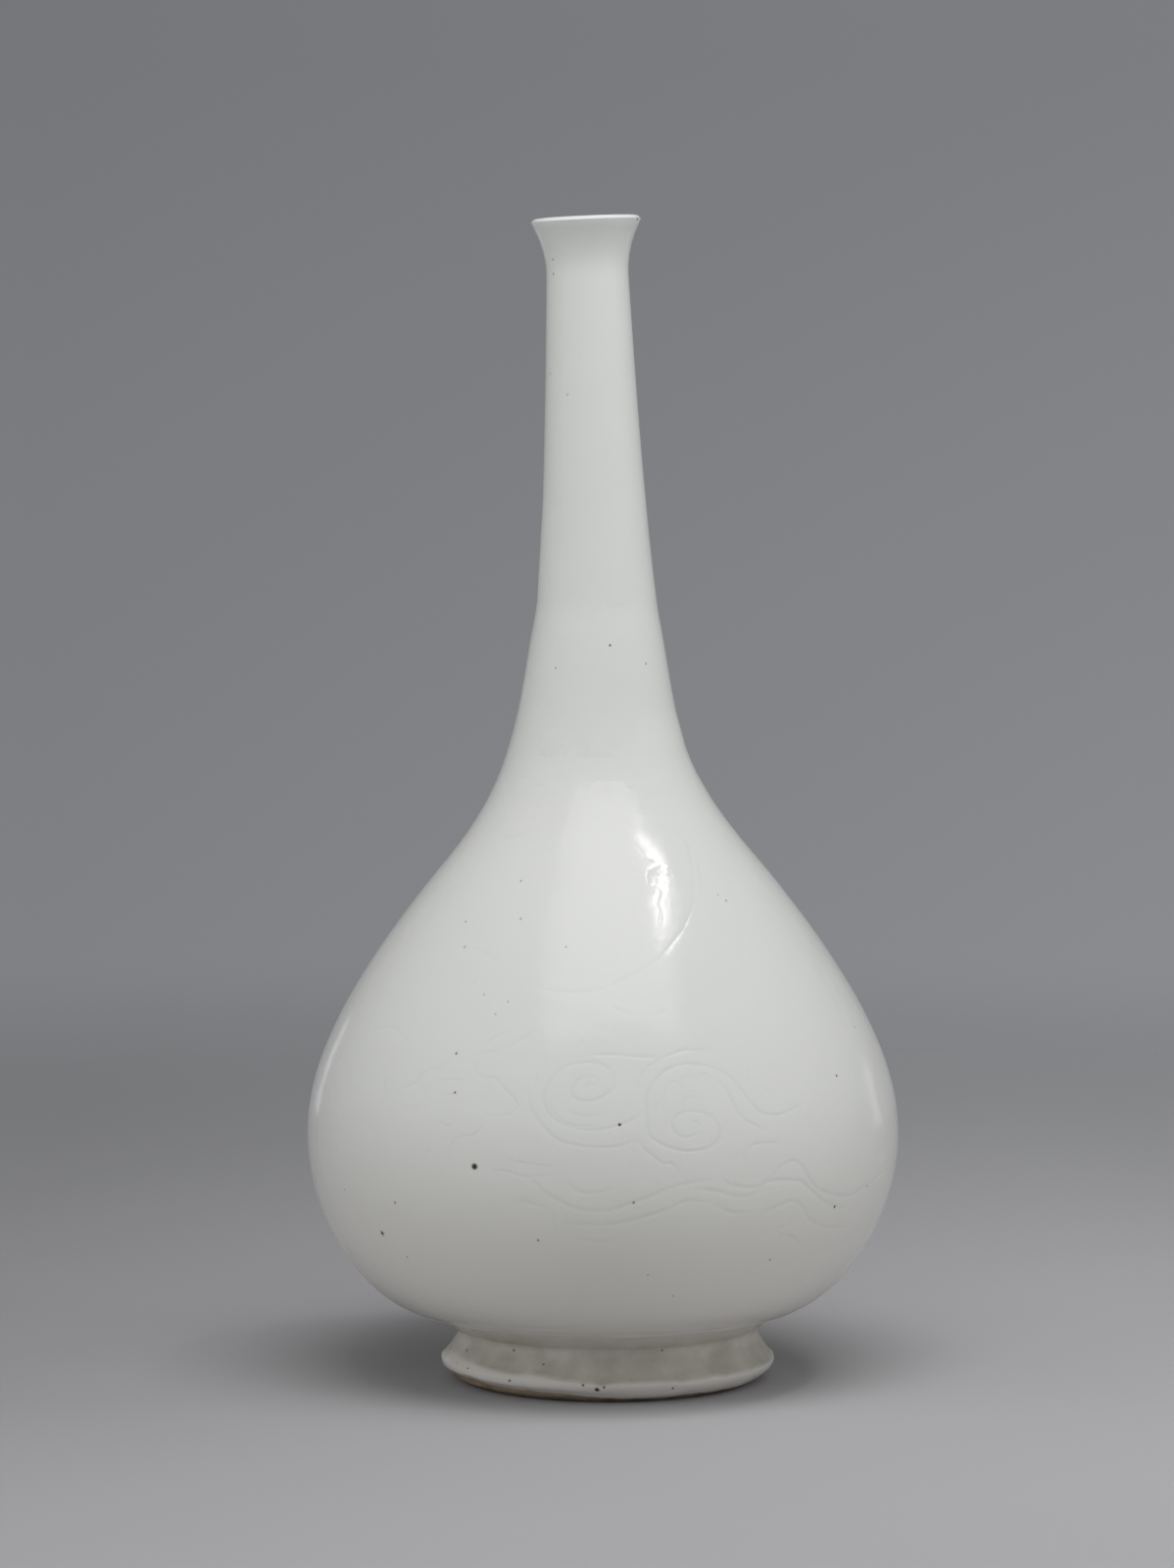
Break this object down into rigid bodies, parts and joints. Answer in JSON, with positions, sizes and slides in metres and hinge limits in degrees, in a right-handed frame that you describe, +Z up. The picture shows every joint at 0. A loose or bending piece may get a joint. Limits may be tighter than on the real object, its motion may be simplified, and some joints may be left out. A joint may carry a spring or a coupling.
{
  "type": "bottle vase",
  "caption": "Tall pear-shaped porcelain bottle with a slender leaning neck, small flared mouth and splayed foot ring.",
  "frame": {"origin": "on the resting plane, under the middle of the belly's widest ring", "axes": "+Z up along the bottle, +X to the right in the picture, towards which the foot is set off and away from which the neck leans, +Y away from the picture's camera"},
  "size_m": [0.2098, 0.2098, 0.4118],
  "materials": {
    "porcelain_clay": "bare fired porcelain, matt, toasted warm at the foot",
    "porcelain_slip": "bare fired slip, matt",
    "white_glaze": "glossy white glaze, faintly grey green, softly uneven"
  },
  "bodies": {
    "root": {"foot_ring": "porcelain_clay", "foot_slip_ring": "porcelain_slip", "lower_body": "porcelain_clay", "girth_slip_ring": "porcelain_slip", "shoulder_section": "porcelain_clay", "neck_base_slip_ring": "porcelain_slip", "lower_neck": "porcelain_clay", "mid_neck_slip_ring": "porcelain_slip", "upper_neck": "porcelain_clay", "outer_glaze": "white_glaze", "inner_glaze": "white_glaze", "foot_hollow_glaze": "white_glaze"}
  },
  "joints": []
}
